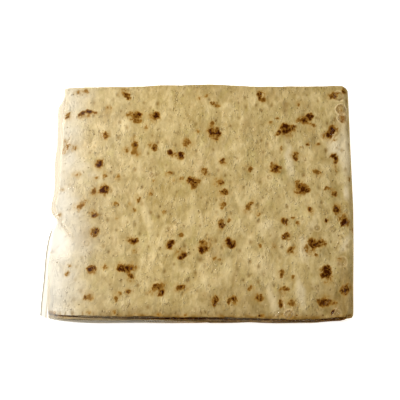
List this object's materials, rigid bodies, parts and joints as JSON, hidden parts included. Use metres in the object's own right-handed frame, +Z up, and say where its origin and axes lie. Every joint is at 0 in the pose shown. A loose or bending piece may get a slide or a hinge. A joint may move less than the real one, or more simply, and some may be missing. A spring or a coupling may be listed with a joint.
{
  "type": "folded lavash flatbread",
  "caption": "Thin lavash flatbread folded into a flat rectangular stack, lying in a clear sealed bag with a short welded fin.",
  "frame": {"origin": "centre of the footprint, on the surface that the pack lies on", "axes": "+Z up through the thickness, +X along the longer side towards the rounded fold, +Y towards the back edge"},
  "size_m": [0.2893, 0.2357, 0.018],
  "materials": {
    "lavash": "matte baked crumb with brown toasted blisters",
    "film": "thin clear glossy packing film"
  },
  "bodies": {
    "root": {"bagged_lavash": "lavash"}
  },
  "joints": []
}
